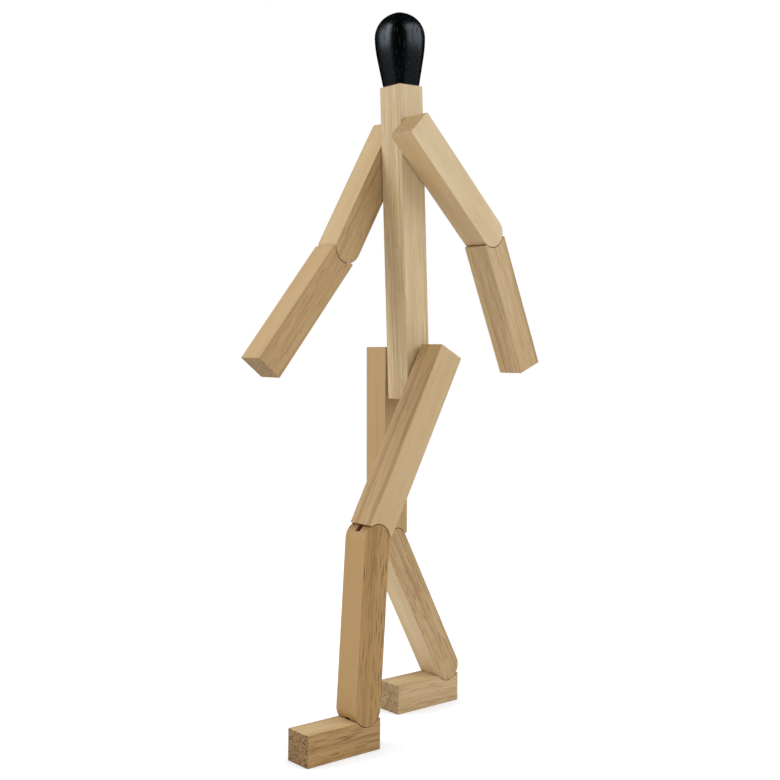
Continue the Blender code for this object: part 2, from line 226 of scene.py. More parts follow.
def mark_grain(mesh, log, along=2):
    """Writes where each point lay in the log, and how each face was cut.

    grain is the point's place in the log in millimetres: x and y from the heart, z along the trunk. cut
    holds, for each face, its share of end grain, how strongly its lines show, how brown it is and the
    ring width. On a bored face that first share also holds painted shade, which darkens the walls of
    bores and slots, and a cut end is as brown as the browner of the bar's front and sides. pores is how
    open the face's pores are.
    """
    place = np.empty(len(mesh.vertices) * 3)
    mesh.vertices.foreach_get("co", place)
    place = place.reshape(-1, 3) / MM
    normal = np.empty(len(mesh.polygons) * 3)
    mesh.polygons.foreach_get("normal", normal)
    normal = normal.reshape(-1, 3)
    place, normal = (np.roll(a, 2 - along, axis=1) for a in (place, normal))
    turn = np.radians(log["turn"])
    x = np.cos(turn) * place[:, 0] - np.sin(turn) * place[:, 1] + log["heart"]
    y = np.sin(turn) * place[:, 0] + np.cos(turn) * place[:, 1]
    grain = np.stack([x, y, place[:, 2] + log["height"]], axis=1)
    mesh.attributes.new("grain", "FLOAT_VECTOR", "POINT").data.foreach_set("vector", grain.ravel())
    bored = np.empty(len(mesh.polygons))
    mesh.attributes["cutter"].data.foreach_get("value", bored)
    # On bored faces this adds painted shade to the share of end grain.
    end = normal[:, 2] ** 2 + BORED_PAINTED_SHADE * bored
    side = normal[:, 2] ** 2 + normal[:, 0 if along == 2 else 1] ** 2
    front, beside = (np.array(log[key]) for key in ("front", "side"))
    lines, pores, brown = front[:, None] + (beside - front)[:, None] * side
    brown += (max(front[2], beside[2]) - beside[2]) * normal[:, 2] ** 2
    cut = np.stack([end, lines, brown, np.full(len(end), log["ring"])], axis=1)
    mesh.attributes.new("cut", "FLOAT_COLOR", "FACE").data.foreach_set("color", cut.ravel())
    mesh.attributes.new("pores", "FLOAT", "FACE").data.foreach_set("value", pores)


def wooden_piece(title, mesh, wood):
    """A finished mesh as an object in its wood, shaded evenly over its larger faces."""
    mesh.materials.clear()
    mesh.materials.append(wood)
    made = add_object(title, mesh)
    even = made.modifiers.new("even shading", "WEIGHTED_NORMAL")
    even.keep_sharp = True
    return made


def oak_piece(name, body, mesh, cutters, log, pivot, swing, along=2):
    """An oak bar drawn about its pivot, bored, marked with its grain, swung about x and set in place."""
    mesh = cut_away(mesh, cutters)
    mark_grain(mesh, log, along)
    place = Matrix.Translation(Vector((0, *pivot[1:])) * MM) @ Matrix.Rotation(swing, 4, "X")
    mesh.transform(place)
    mesh.name = name
    made = wooden_piece(f"{name}_oak", mesh, oiled_oak)
    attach(made, body)
    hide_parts(name)


# Oiled oak, planed and sanded: pale tan with darker autumn wood at each ring's edge, and open pores that
# show as short dark dashes along the faces and as dots on the cut ends. The oil leaves a soft satin.
# The pores of real oak are about 0.3 mm wide; they are drawn two to three times that so that they show.
WANDER_MM = 2.4
SWAY_MM = 1.2
SWAY_ACROSS_MM = 14.0
SWAY_ALONG_MM = 28.0
PORE_CELL_MM = 0.72
PORE_LENGTH_MM = 19.0
PORE_DEPTH_MM = 0.12
PORE_BUMP = 0.3
END_PORE_MM = 1.3
END_PORE_LENGTH_MM = 1000.0
END_SHADE = 0.34
PALE_OAK = linear("#dcc59d")
BROWN_OAK = linear("#ae854a")
oiled_oak, tree = new_material("oiled oak")
grain = add_node(tree, "ShaderNodeAttribute", attribute_name="grain").outputs["Vector"]
open_pores = add_node(tree, "ShaderNodeAttribute", attribute_name="pores").outputs["Fac"]
cut = add_node(tree, "ShaderNodeAttribute", attribute_name="cut").outputs
end_grain_and_painted_shade, lines, brownness = add_node(tree, "ShaderNodeSeparateXYZ", {0: cut["Vector"]}).outputs

# Sway: the fibres lean a little to and fro, so the finer marks follow the grain moved aside by a noise.
shrink = {0: grain, 1: (1 / SWAY_ACROSS_MM, 1 / SWAY_ACROSS_MM, 1 / SWAY_ALONG_MM)}
place = add_node(tree, "ShaderNodeVectorMath", shrink, operation="MULTIPLY")
sway = add_node(tree, "ShaderNodeTexNoise", {"Vector": place, "Scale": 1.0, "Detail": 2})
aside = {0: sway.outputs["Color"], 1: (SWAY_MM * 2, SWAY_MM * 2, 0), 2: grain}
swayed = add_node(tree, "ShaderNodeVectorMath", aside, operation="MULTIPLY_ADD")

# Noises drawn out along the trunk: the grain each follows, its size across and along in mm, its detail.
noise = {}
for name, follows, across, along, detail in (
    ("wander", grain, 16, 150, 2),
    ("year", grain, 5, 400, 1),
    ("patch", grain, 9, 70, 2),
    ("fibre", swayed, 0.7, 80, 2),
    ("streak", swayed, 2.2, 90, 2),
    ("line", swayed, 0.7, 40, 1),
):
    shrink = {0: follows, 1: (1 / across, 1 / across, 1 / along)}
    place = add_node(tree, "ShaderNodeVectorMath", shrink, operation="MULTIPLY")
    noise[name] = add_node(tree, "ShaderNodeTexNoise", {"Vector": place, "Scale": 1.0, "Detail": detail})

# Rings: the distance from the heart, a little unsteady, counted in ring widths.
flat = add_node(tree, "ShaderNodeVectorMath", {0: grain, 1: (1, 1, 0)}, operation="MULTIPLY")
from_heart = add_node(tree, "ShaderNodeVectorMath", {0: flat}, operation="LENGTH")
unsteady = {0: noise["wander"], 1: WANDER_MM * 2, 2: from_heart}
unsteady = add_node(tree, "ShaderNodeMath", unsteady, operation="MULTIPLY_ADD")
years = add_node(tree, "ShaderNodeMath", {0: unsteady, 1: cut["Alpha"]}, operation="DIVIDE")
season = add_node(tree, "ShaderNodeMath", {0: years}, operation="FRACT")

# Pores: long cells along the trunk, of which some are open; on a cut end they are dots.
pore_cell = {0: swayed, 1: (1 / PORE_CELL_MM, 1 / PORE_CELL_MM, 1 / PORE_LENGTH_MM)}
pore_cell = add_node(tree, "ShaderNodeVectorMath", pore_cell, operation="MULTIPLY")
pore_cell = add_node(tree, "ShaderNodeTexVoronoi", {"Vector": pore_cell, "Scale": 1.0}).outputs
chance = add_node(tree, "ShaderNodeSeparateXYZ", {0: pore_cell["Color"]})
end_cell = {0: grain, 1: (1 / END_PORE_MM, 1 / END_PORE_MM, 1 / END_PORE_LENGTH_MM)}
end_cell = add_node(tree, "ShaderNodeVectorMath", end_cell, operation="MULTIPLY")
end_cell = add_node(tree, "ShaderNodeTexVoronoi", {"Vector": end_cell, "Scale": 1.0})

# Smooth steps: what is measured, between which two values, and what it gives at each.
step = {}
for name, measured, low, high, at_low, at_high in (
    ("spring", season, 0.15, 0.55, 1.0, 0.45),
    ("summer", season, 0.45, 0.92, 0.0, 0.65),
    ("winter", season, 0.94, 1.0, 1.0, 0.0),
    ("year", noise["year"], 0.35, 0.68, 0.0, 1.0),
    ("ring lines", lines, 0.0, 0.5, 0.05, 1.0),
    ("patch", noise["patch"], 0.3, 0.7, 0.0, 0.3),
    ("streak", noise["streak"], 0.42, 0.68, 0.0, 0.45),
    ("fibre", noise["fibre"], 0.38, 0.66, 0.0, 1.0),
    ("fibre lines", lines, 0.0, 0.4, 0.05, 0.4),
    ("line", noise["line"], 0.58, 0.65, 0.0, 0.5),
    ("pore", pore_cell["Distance"], 0.28, 0.4, 1.0, 0.0),
    ("open", chance, 0.25, 0.45, 0.0, 1.0),
    ("dot", end_cell, 0.28, 0.5, 0.9, 0.0),
    ("open dots", open_pores, 0.0, 0.8, 0.25, 1.2),
):
    bounds = {"Value": measured, "From Min": low, "From Max": high, "To Min": at_low, "To Max": at_high}
    step[name] = add_node(tree, "ShaderNodeMapRange", bounds, interpolation_type="SMOOTHSTEP")

# Shares of the colour: the products of those steps and of how the face was cut.
share = {}
for name, factors in (
    ("autumn", (step["summer"], step["winter"], step["year"], step["ring lines"])),
    ("streak", (step["streak"], lines)),
    ("fibre", (step["fibre"], step["fibre lines"])),
    ("line", (step["line"], lines)),
    ("pore", (step["pore"], step["open"], step["spring"], open_pores)),
    ("end", (end_grain_and_painted_shade, END_SHADE)),
    ("dot", (step["dot"], step["open dots"], end_grain_and_painted_shade)),
):
    share[name] = factors[0]
    for factor in factors[1:]:
        share[name] = add_node(tree, "ShaderNodeMath", {0: share[name], 1: factor}, operation="MULTIPLY")

oak_colour = PALE_OAK
for part, colour, how in (
    (brownness, BROWN_OAK, "MIX"),
    (step["patch"], linear("#b5935d"), "MIX"),
    (share["autumn"], linear("#8c6835"), "MIX"),
    (share["streak"], linear("#997036"), "MIX"),
    (share["fibre"], linear("#a88756"), "MIX"),
    (share["line"], linear("#724d1d"), "MIX"),
    (share["pore"], linear("#4a280b"), "MIX"),
    # Cut ends are darker; on bored faces and slot walls this layer is painted shade.
    (share["end"], linear("#a09074"), "MULTIPLY"),
    (share["dot"], linear("#543719"), "MIX"),
):
    layers = {0: part, 6: oak_colour, 7: colour}
    oak_colour = add_node(tree, "ShaderNodeMix", layers, data_type="RGBA", blend_type=how)
satin = {"Value": share["pore"], "From Max": 1.0, "To Min": 0.48, "To Max": 0.8}
satin = add_node(tree, "ShaderNodeMapRange", satin)
hollow = add_node(tree, "ShaderNodeMath", {0: share["pore"], 1: -1.0}, operation="MULTIPLY")
relief = {"Height": hollow, "Strength": PORE_BUMP, "Distance": PORE_DEPTH_MM * MM}
relief = add_node(tree, "ShaderNodeBump", relief)
oak_shader = {"Base Color": oak_colour, "Roughness": satin, "Normal": relief}
oak_shader = add_node(tree, "ShaderNodeBsdfPrincipled", oak_shader)
add_node(tree, "ShaderNodeOutputMaterial", {"Surface": oak_shader})


def log_place(turn, heart, height, ring, front, side):
    """Where in the log a bar was sawn, and its ring width.

    front and side give how strongly the lines show, how open the pores are and how brown the wood is, on
    the front and back of a bar, or the top and bottom of a foot, and on its sides.
    """
    return {"turn": turn, "heart": heart, "height": height, "ring": ring, "front": front, "side": side}


hip, shoulder = joint_at["left_hip"], joint_at["left_shoulder"]
lean = np.arctan2(-(shoulder[1] - hip[1]), shoulder[2] - hip[2])
shoulder_rise = np.hypot(shoulder[1] - hip[1], shoulder[2] - hip[2])
oak_piece(
    "torso",
    "torso",
    bar_mesh(square_end(ABOVE_HIP, 1), square_end(-BELOW_HIP, -1), 0),
    [
        bore((-BEYOND, 0, 0), (BEYOND, 0, 0)),
        bore((-BEYOND, 0, shoulder_rise), (BEYOND, 0, shoulder_rise)),
        bore((0, 0, ABOVE_HIP - DOWEL_HOLE_DEPTH), (0, 0, ABOVE_HIP + BEYOND), DOWEL_HOLE),
    ],
    log_place(38, 70, 0, 1.5, (0.35, 0.2, 0.04), (0.18, 0.1, 0.0)),
    hip,
    lean,
)

# Head: one block of wood, square at the neck, carved to swell into a rounded square with a domed crown.
# It is stained black and rubbed to a satin. A plain beech dowel joins it to the torso.
HEAD_HEIGHT = 47.6
HEAD_TAPER_HEIGHT = 18.5
HEAD_SWELL_HEIGHT = 23.4
HEAD_WIDE_HEIGHT = 31.2
HEAD_HALF = 14.75
NECK_POWER = 4.0
HEAD_POWER = 3.0
NECK_EASE = 0.5
SEAT_GAP = 0.3
TAPER_ROWS = 36
DOME_ROWS = 28
HEAD_SIDES = 112


def head_rows():
    """Height, half width and squareness of each row: a cubic curve out to the widest, then an ellipse."""
    t = np.linspace(0, 1, TAPER_ROWS, endpoint=False)
    weights = np.stack([(1 - t) ** 3, 3 * t * (1 - t) ** 2, 3 * t**2 * (1 - t), t**3])
    height = np.array([0, HEAD_TAPER_HEIGHT, HEAD_SWELL_HEIGHT, HEAD_WIDE_HEIGHT]) @ weights
    share = np.array([0, 2 / 3, 1, 1]) @ weights
    angle = np.linspace(0, np.pi / 2, DOME_ROWS, endpoint=False)
    dome = HEAD_WIDE_HEIGHT + (HEAD_HEIGHT - HEAD_WIDE_HEIGHT) * np.sin(angle)
    half = np.concatenate([HALF + (HEAD_HALF - HALF) * share, HEAD_HALF * np.cos(angle)])
    power = NECK_POWER + (HEAD_POWER - NECK_POWER) * np.concatenate([share, np.ones(DOME_ROWS)])
    height = np.concatenate([height, dome])
    rim = np.interp(NECK_EASE, height, half)
    half = np.concatenate([[HALF - NECK_EASE, rim], half[1:]])
    power = np.concatenate([[NECK_POWER, NECK_POWER], power[1:]])
    return np.concatenate([[0, NECK_EASE], height[1:]]), half, power


def head_mesh():
    """Swollen squares stacked along z, closed by a crown point.

    At angle a the radius is h over the n-th root of |cos a|^n + |sin a|^n, where the half width h and
    the power n change from row to row.
    """
    height, half, power = head_rows()
    angle = np.arange(HEAD_SIDES) * 2 * np.pi / HEAD_SIDES
    power = power[:, None]
    total = np.abs(np.cos(angle)) ** power + np.abs(np.sin(angle)) ** power
    radius = half[:, None] / total ** (1 / power)
    rows, count = len(height), HEAD_SIDES
    points = np.empty((rows, count, 3))
    points[:, :, 0] = radius * np.cos(angle)
    points[:, :, 1] = radius * np.sin(angle)
    points[:, :, 2] = height[:, None]
    quads = ring_faces(rows, count)
    top = np.arange(count) + (rows - 1) * count
    crown = np.stack([top, np.roll(top, -1), np.full(count, rows * count)], axis=1)
    points = np.concatenate([points.reshape(-1, 3), [[0, 0, HEAD_HEIGHT]]])
    faces = [*quads.tolist(), *crown.tolist(), np.arange(count)[::-1].tolist()]
    return new_mesh("head", points, faces)


# Black-stained wood: the stain hides the colour of the wood but sinks into its pores, which stay open as
# fine grooves along the grain. The rubbed finish gives broad soft highlights.
GROOVE_MM = 1.0
GROOVE_LENGTH_MM = 12.0
GROOVE_DEPTH_MM = 0.3
GROOVE_BUMP = 0.55
stained_wood, tree = new_material("black-stained wood")
grain = add_node(tree, "ShaderNodeAttribute", attribute_name="grain").outputs["Vector"]
groove_cell = {0: grain, 1: (1 / GROOVE_MM, 1 / GROOVE_MM, 1 / GROOVE_LENGTH_MM)}
groove_cell = add_node(tree, "ShaderNodeVectorMath", groove_cell, operation="MULTIPLY")
groove_cell = add_node(tree, "ShaderNodeTexVoronoi", {"Vector": groove_cell, "Scale": 1.0}).outputs
chance = add_node(tree, "ShaderNodeSeparateXYZ", {0: groove_cell["Color"]})
inside = {"Value": groove_cell["Distance"], "From Min": 0.15, "From Max": 0.4}
inside.update({"To Min": 1.0, "To Max": 0.0})
inside = add_node(tree, "ShaderNodeMapRange", inside, interpolation_type="SMOOTHSTEP")
is_open = {"Value": chance, "From Min": 0.35, "From Max": 0.8}
is_open = add_node(tree, "ShaderNodeMapRange", is_open, interpolation_type="SMOOTHSTEP")
groove = add_node(tree, "ShaderNodeMath", {0: inside, 1: is_open}, operation="MULTIPLY")
rubbed = {"Value": groove, "To Min": 0.27, "To Max": 0.9}
rubbed = add_node(tree, "ShaderNodeMapRange", rubbed)
hollow = add_node(tree, "ShaderNodeMath", {0: groove, 1: -1.0}, operation="MULTIPLY")
relief = {"Height": hollow, "Strength": GROOVE_BUMP, "Distance": GROOVE_DEPTH_MM * MM}
relief = add_node(tree, "ShaderNodeBump", relief)
stain_shader = {
    "Base Color": linear("#030404"),
    "Roughness": rubbed,
    "Specular IOR Level": 0.52,
    "Specular Tint": linear("#d3e5f8"),
    "Normal": relief,
}
stain_shader = add_node(tree, "ShaderNodeBsdfPrincipled", stain_shader)
add_node(tree, "ShaderNodeOutputMaterial", {"Surface": stain_shader})

mesh = cut_away(head_mesh(), [bore((0, 0, -BEYOND), (0, 0, DOWEL_HOLE_DEPTH), DOWEL_HOLE)])
mark_grain(mesh, log_place(10, 60, 300, 2.0, (1, 1, 0), (1, 1, 0)))
head_place = Matrix.Translation(Vector((0, *hip[1:])) * MM) @ Matrix.Rotation(lean, 4, "X")
mesh.transform(head_place @ Matrix.Translation(Vector((0, 0, ABOVE_HIP + SEAT_GAP)) * MM))
head = wooden_piece("head_stained", mesh, stained_wood)
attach(head, "torso")
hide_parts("head")

# Bare beech, turned to a dowel or a bush: pinkish cream with short dark flecks along the grain.
FLECK_MM = 0.5
FLECK_LENGTH_MM = 3.0
turned_beech, tree = new_material("bare beech")
place = add_node(tree, "ShaderNodeTexCoord").outputs["Object"]
shrink = {0: place, 1: (1 / (FLECK_MM * MM), 1 / (FLECK_MM * MM), 1 / (FLECK_LENGTH_MM * MM))}
fleck = add_node(tree, "ShaderNodeVectorMath", shrink, operation="MULTIPLY")
fleck = add_node(tree, "ShaderNodeTexVoronoi", {"Vector": fleck, "Scale": 1.0})
fleck = {"Value": fleck, "From Min": 0.1, "From Max": 0.3, "To Min": 0.5, "To Max": 0.0}
fleck = add_node(tree, "ShaderNodeMapRange", fleck, interpolation_type="SMOOTHSTEP")
beech_colour = {0: fleck, 6: linear("#d9bd94"), 7: linear("#a57f55")}
beech_colour = add_node(tree, "ShaderNodeMix", beech_colour, data_type="RGBA")
beech_shader = add_node(tree, "ShaderNodeBsdfPrincipled", {"Base Color": beech_colour, "Roughness": 0.6})
add_node(tree, "ShaderNodeOutputMaterial", {"Surface": beech_shader})
for name, thing in nodes.items():
    if name.endswith("bush") or name == "neck_dowel":
        thing.data.materials.clear()
        thing.data.materials.append(turned_beech)

# Arms: each upper arm hangs on the shoulder cord against the torso and ends in a half round with a slot
# for its cord. The forearm is hollowed at the top to a shallow cup that rolls on that half round.
CUP_DEPTH = 4.0
CUP_GAP = 0.3
CUP_RADIUS = HALF + CUP_GAP
CUP_PLANE = HALF - CUP_DEPTH
SLOT_WIDTH = 4.0
SLOT_DEPTH = 5.0
BUSH_SETBACK = 1.2
BORE_DEPTH = 10.0
UPPER_ARM_TOP = 18.5
SHOULDER_CORNER = 1.6
FOREARM_REACH = 99.4
FOREARM_SWING = {"left": np.radians(23.3), "right": np.radians(-38.1)}
SHOULDER_BORE_DEPTH = 11.8
ROUND_STEPS = 40
CUP_STEPS = 28


def round_end(pivot, way):
    """A half round about a pivot height, front to back: over the top (way 1) or under (-1)."""
    return arc((0, pivot), HALF, -90, -90 - 180 * way, ROUND_STEPS)


def cup_end(pivot, way, front=-HALF):
    """A square-cut end, up (way 1) or down (-1), hollowed about a pivot that stands CUP_PLANE beyond it."""
    lip = np.degrees(np.arccos(CUP_PLANE / CUP_RADIUS))
    corners = square_end(pivot - way * CUP_PLANE, way, front)
    middle = 90 - 90 * way
    hollow = arc((0, pivot), CUP_RADIUS, middle - way * lip, middle + way * lip, CUP_STEPS)
    return np.concatenate([corners[: EASE_STEPS + 1], hollow, corners[EASE_STEPS + 1 :]])


def slot(middle_x, pivot, way):
    """The cutter of the cord slot across a half round, open to the front and the back."""
    floor = pivot + way * (HALF - SLOT_DEPTH)
    tip = pivot + way * (HALF + CUTTER_PROUD)
    corners = np.array([[-BEYOND, floor], [BEYOND, floor], [BEYOND, tip], [-BEYOND, tip]])
    x = middle_x + SLOT_WIDTH / 2 * np.array([-1, 1])
    points = np.concatenate([np.insert(corners, 0, side, axis=1) for side in x])
    i = np.arange(4)
    j = (i + 1) % 4
    faces = [*np.stack([i, j, j + 4, i + 4], axis=1).tolist(), i[::-1].tolist(), (i + 4).tolist()]
    if way < 0:
        faces = [face[::-1] for face in faces]
    return new_mesh("slot", points, faces, 1.0)


def round_bore(middle_x, pivot, way):
    """The cutter of the bore that runs from the slot of a half round down to past its bush."""
    depth = HALF - SLOT_DEPTH - BUSH_SETBACK - BORE_DEPTH
    return bore((middle_x, 0, pivot + way * HALF), (middle_x, 0, pivot + way * depth))


def cup_bore(middle_x, pivot, way):
    """The cutter of the bore that runs from a cup into its bar to past its bush."""
    depth = CUP_RADIUS + BUSH_SETBACK + BORE_DEPTH
    return bore((middle_x, 0, pivot - way * (HALF - CUTTER_PROUD)), (middle_x, 0, pivot - way * depth))


arm_logs = {
    "left": (
        log_place(80, 90, 40, 2.5, (0.08, 0.0, 0.43), (0.05, 0.08, 0.0)),
        log_place(25, 55, 150, 7.0, (0.55, 0.1, 0.24), (0.33, 0.25, 0.36)),
    ),
    "right": (
        log_place(20, 60, 260, 2.5, (0.1, 0.05, 0.34), (0.3, 0.45, 0.6)),
        log_place(12, 75, 420, 2.2, (0.1, 0.05, 0.52), (0.35, 0.4, 0.68)),
    ),
}
for side in ("left", "right"):
    elbow = joint_at[f"{side}_elbow"]
    upper = elbow - shoulder
    span = np.hypot(upper[1], upper[2])
    x = elbow[0]
    outer = x + np.sign(x) * (SHOULDER_BORE_DEPTH - HALF)
    upper_log, fore_log = arm_logs[side]
    oak_piece(
        f"{side}_upper_arm",
        f"{side}_upper_arm",
        bar_mesh(square_end(UPPER_ARM_TOP, 1, corner=SHOULDER_CORNER), round_end(-span, -1), x),
        [bore((0, 0, 0), (outer, 0, 0)), slot(x, -span, -1), round_bore(x, -span, -1)],
        upper_log,
        shoulder,
        np.arctan2(upper[1], -upper[2]),
    )
    oak_piece(
        f"{side}_forearm",
        f"{side}_forearm",
        bar_mesh(cup_end(0, 1), square_end(-FOREARM_REACH, -1), x),
        [cup_bore(x, 0, 1)],
        fore_log,
        elbow,
        FOREARM_SWING[side],
    )

# Legs: each thigh hangs on the hip cord, a felt washer off the torso, and ends in a cup at the knee.
# The shin is a half round at both ends, and stands in the cup of a short foot whose grain runs forward.
THIGH_TOP = 19.5
FOOT_TOE = HALF - 57.0
FOOT_HEIGHT = 20.0
leg_logs = {
    "left": (
        log_place(52, 48, 60, 8.0, (0.6, 0.2, 0.64), (0.11, 0.1, 0.38)),
        log_place(15, 45, 330, 3.0, (0.05, 0.0, 0.84), (0.5, 1.0, 0.94)),
        log_place(35, 40, 200, 8.0, (0.2, 0.12, 0.3), (0.8, 0.8, 0.86)),
    ),
    "right": (
        log_place(75, 90, 500, 2.5, (0.1, 0.05, 0.67), (0.3, 0.2, 0.6)),
        log_place(18, 50, 610, 3.0, (0.05, 0.0, 0.08), (0.5, 0.8, 0.5)),
        log_place(30, 64, 700, 7.0, (0.25, 0.15, 0.1), (0.4, 0.4, 0.32)),
    ),
}
for side in ("left", "right"):
    knee, ankle = joint_at[f"{side}_knee"], joint_at[f"{side}_ankle"]
    thigh, shin = knee - hip, ankle - knee
    thigh_span, shin_span = np.hypot(*thigh[1:]), np.hypot(*shin[1:])
    x = knee[0]
    outer = x + np.sign(x) * (SHOULDER_BORE_DEPTH - HALF)
    thigh_log, shin_log, foot_log = leg_logs[side]
    oak_piece(
        f"{side}_thigh",
        f"{side}_thigh",
        bar_mesh(square_end(THIGH_TOP, 1), cup_end(-thigh_span, -1), x),
        [bore((0, 0, 0), (outer, 0, 0)), cup_bore(x, -thigh_span, -1)],
        thigh_log,
        hip,
        np.arctan2(thigh[1], -thigh[2]),
    )
    oak_piece(
        f"{side}_shin",
        f"{side}_shin",
        bar_mesh(round_end(0, 1), round_end(-shin_span, -1), x),
        [
            slot(x, 0, 1),
            round_bore(x, 0, 1),
            slot(x, -shin_span, -1),
            round_bore(x, -shin_span, -1),
        ],
        shin_log,
        knee,
        np.arctan2(shin[1], -shin[2]),
    )
    oak_piece(
        f"{side}_foot",
        f"{side}_foot",
        bar_mesh(cup_end(0, 1, FOOT_TOE), square_end(-CUP_PLANE - FOOT_HEIGHT, -1, FOOT_TOE), x),
        [cup_bore(x, 0, 1)],
        foot_log,
        ankle,
        0.0,
        along=1,
    )

# Hip washers: discs of dark pressed felt, which keep the thighs off the torso so that they turn freely.
FELT_FIBRE_MM = 0.4
pressed_felt, tree = new_material("pressed felt")
place = add_node(tree, "ShaderNodeTexCoord").outputs["Object"]
fuzz = {"Vector": place, "Scale": 1 / (FELT_FIBRE_MM * MM), "Detail": 2.0}
fuzz = add_node(tree, "ShaderNodeTexNoise", fuzz)
felt_colour = {0: fuzz, 6: linear("#2c231d"), 7: linear("#4a3c32")}
felt_colour = add_node(tree, "ShaderNodeMix", felt_colour, data_type="RGBA")
felt_shader = {"Base Color": felt_colour, "Roughness": 0.95, "Sheen Weight": 0.3}
felt_shader = add_node(tree, "ShaderNodeBsdfPrincipled", felt_shader)
add_node(tree, "ShaderNodeOutputMaterial", {"Surface": felt_shader})
for side in ("left", "right"):
    washer = nodes[f"{side}_hip_washer"]
    washer.data.materials.clear()
    washer.data.materials.append(pressed_felt)

# Cords: round black elastic, rubber in a braided sheath, knotted behind a beech bush at each end. One
# runs across the shoulders and one across the hips. The others cross an elbow, a knee or an ankle.
CORD_RADIUS = 1.3
KNOT_RADIUS = 2.1
BUSH_LENGTH = 5.0
KNOT_GAP = 0.3
KNOT_ROWS = 14
CORD_SIDES = 20
BEND_ROWS = 24
BRAID_STRANDS = 12
BRAID_PITCH_MM = 3.2
BRAID_DEPTH_MM = 0.1
BRAID_BUMP = 0.4
CROSS_ROWS = 9
braided_elastic, tree = new_material("braided elastic")
around = add_node(tree, "ShaderNodeUVMap", uv_map="braid")
slanted = add_node(tree, "ShaderNodeMapping", {"Vector": around, "Rotation": (0, 0, np.pi / 4)})
strands = add_node(tree, "ShaderNodeTexChecker", {"Vector": slanted, "Scale": 1.0}).outputs["Fac"]
cord_colour = {0: strands, 6: linear("#121214"), 7: linear("#1f1f23")}
cord_colour = add_node(tree, "ShaderNodeMix", cord_colour, data_type="RGBA")
relief = {"Height": strands, "Strength": BRAID_BUMP, "Distance": BRAID_DEPTH_MM * MM}
relief = add_node(tree, "ShaderNodeBump", relief)
cord_shader = {"Base Color": cord_colour, "Roughness": 0.8, "Normal": relief}
cord_shader = add_node(tree, "ShaderNodeBsdfPrincipled", cord_shader)
add_node(tree, "ShaderNodeOutputMaterial", {"Surface": cord_shader})


def cord_piece(name, path, across):
    """A tube along a path: circles across it, whose radius swells to a round knot beyond each end.

    The knot is an arc of a ball, from where it leaves the cord round to near its pole. Its circles
    stand on the path's end tangents. The braid's map counts strands around the cord and pitches along it.
    """
    tangent = np.gradient(path, axis=0)
    tangent /= np.linalg.norm(tangent, axis=1, keepdims=True)
    inner = np.arcsin(CORD_RADIUS / KNOT_RADIUS)
    angle = np.linspace(inner, np.pi, KNOT_ROWS + 1, endpoint=False)[1:]
    reach = KNOT_RADIUS * (np.cos(inner) - np.cos(angle))
    swell = KNOT_RADIUS * np.sin(angle)
    centre = np.concatenate(
        [path[0] - reach[::-1, None] * tangent[0], path, path[-1] + reach[:, None] * tangent[-1]]
    )
    way = np.concatenate(
        [np.repeat(tangent[:1], KNOT_ROWS, 0), tangent, np.repeat(tangent[-1:], KNOT_ROWS, 0)]
    )
    radius = np.concatenate([swell[::-1], np.full(len(path), CORD_RADIUS), swell])
    other = np.cross(way, across)
    turn = np.arange(CORD_SIDES) * 2 * np.pi / CORD_SIDES
    circle = np.cos(turn)[:, None] * across + np.sin(turn)[:, None] * other[:, None, :]
    points = centre[:, None, :] + radius[:, None, None] * circle
    rows = len(centre)
    quads = ring_faces(rows, CORD_SIDES)
    row, column = np.divmod(quads[:, 0], CORD_SIDES)
    cap = np.arange(CORD_SIDES)
    faces = [*quads.tolist(), cap[::-1].tolist(), (cap + (rows - 1) * CORD_SIDES).tolist()]
    mesh = new_mesh(name, points.reshape(-1, 3), faces)
    length = np.concatenate([[0], np.cumsum(np.linalg.norm(np.diff(centre, axis=0), axis=1))])
    strand = BRAID_STRANDS / CORD_SIDES
    u = np.stack([column, column + 1, column + 1, column], axis=-1) * strand
    v = np.stack([length[row], length[row], length[row + 1], length[row + 1]], axis=-1) / BRAID_PITCH_MM
    braid = np.zeros((len(mesh.loops), 2))
    braid[: 4 * len(quads)] = np.stack([u, v], axis=-1).reshape(-1, 2)
    mesh.uv_layers.new(name="braid").data.foreach_set("uv", braid.ravel())
    mesh.materials.append(braided_elastic)
    made = add_object(f"{name}_braided", mesh)
    return made


def unit(vector):
    """The vector scaled to length one."""
    return vector / np.linalg.norm(vector)


def joint_cord(name, pivot, from_round, into_cup):
    """A cord out of a half round and into a cup: straight in each bush, one cubic curve between them."""
    low = HALF - SLOT_DEPTH - BUSH_SETBACK
    high = CUP_RADIUS + BUSH_SETBACK
    lead = (CUP_RADIUS - low) / 3
    past = BUSH_LENGTH + KNOT_GAP
    t = np.linspace(0, 1, BEND_ROWS)
    weights = np.stack([(1 - t) ** 3, 3 * t * (1 - t) ** 2, 3 * t**2 * (1 - t), t**3], axis=1)
    bend = weights @ np.stack(
        [
            from_round * low,
            from_round * (low + lead),
            into_cup * (CUP_RADIUS - lead),
            into_cup * CUP_RADIUS,
        ]
    )
    path = pivot + np.concatenate([[from_round * (low - past)], bend, [into_cup * (high + past)]])
    made = cord_piece(name, path, np.array([1.0, 0, 0]))
    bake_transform(made)
    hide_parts(name)


